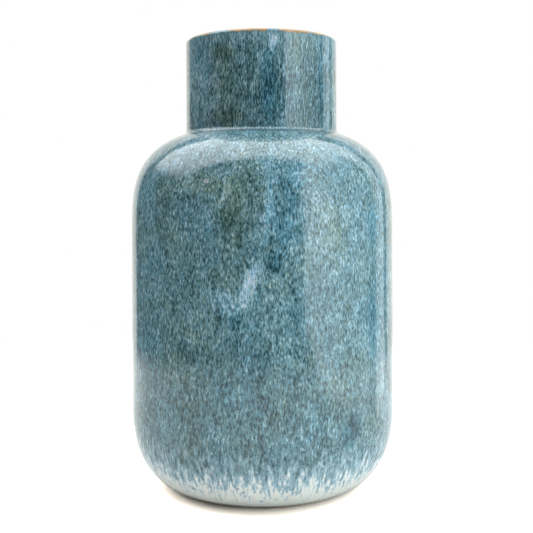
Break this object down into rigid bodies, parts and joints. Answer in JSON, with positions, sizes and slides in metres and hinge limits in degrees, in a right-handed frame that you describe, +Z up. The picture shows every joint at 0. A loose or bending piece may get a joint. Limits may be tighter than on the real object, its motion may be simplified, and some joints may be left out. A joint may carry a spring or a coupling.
{
  "type": "flower vase",
  "caption": "Tall round-shouldered stoneware vase with a straight cylindrical collar, rounded base and low foot, under a streaked glaze.",
  "frame": {"origin": "centre of the foot's underside, on the surface that the vase stands on", "axes": "+Z up along the vase's axis, from the foot to the lip; the vase is round, so X and Y are free"},
  "size_m": [0.16, 0.16, 0.27],
  "materials": {
    "stoneware": "bare fired stoneware, buff brown, matt",
    "white_glaze": "celadon white glaze, glossy",
    "blue_glaze": "streaked blue reactive glaze, glossy",
    "amber_glaze": "glaze broken to amber on the lip, glossy",
    "liner_glaze": "blue grey liner glaze, satin to glossy"
  },
  "bodies": {
    "root": {"stoneware_body": "stoneware", "stoneware_collar": "stoneware", "luting_slip": "stoneware", "foot_ring": "stoneware", "white_base_glaze": "white_glaze", "blue_body_glaze": "blue_glaze", "blue_neck_glaze": "blue_glaze", "amber_lip_glaze": "amber_glaze", "body_liner_glaze": "liner_glaze", "neck_liner_glaze": "liner_glaze"}
  },
  "joints": []
}
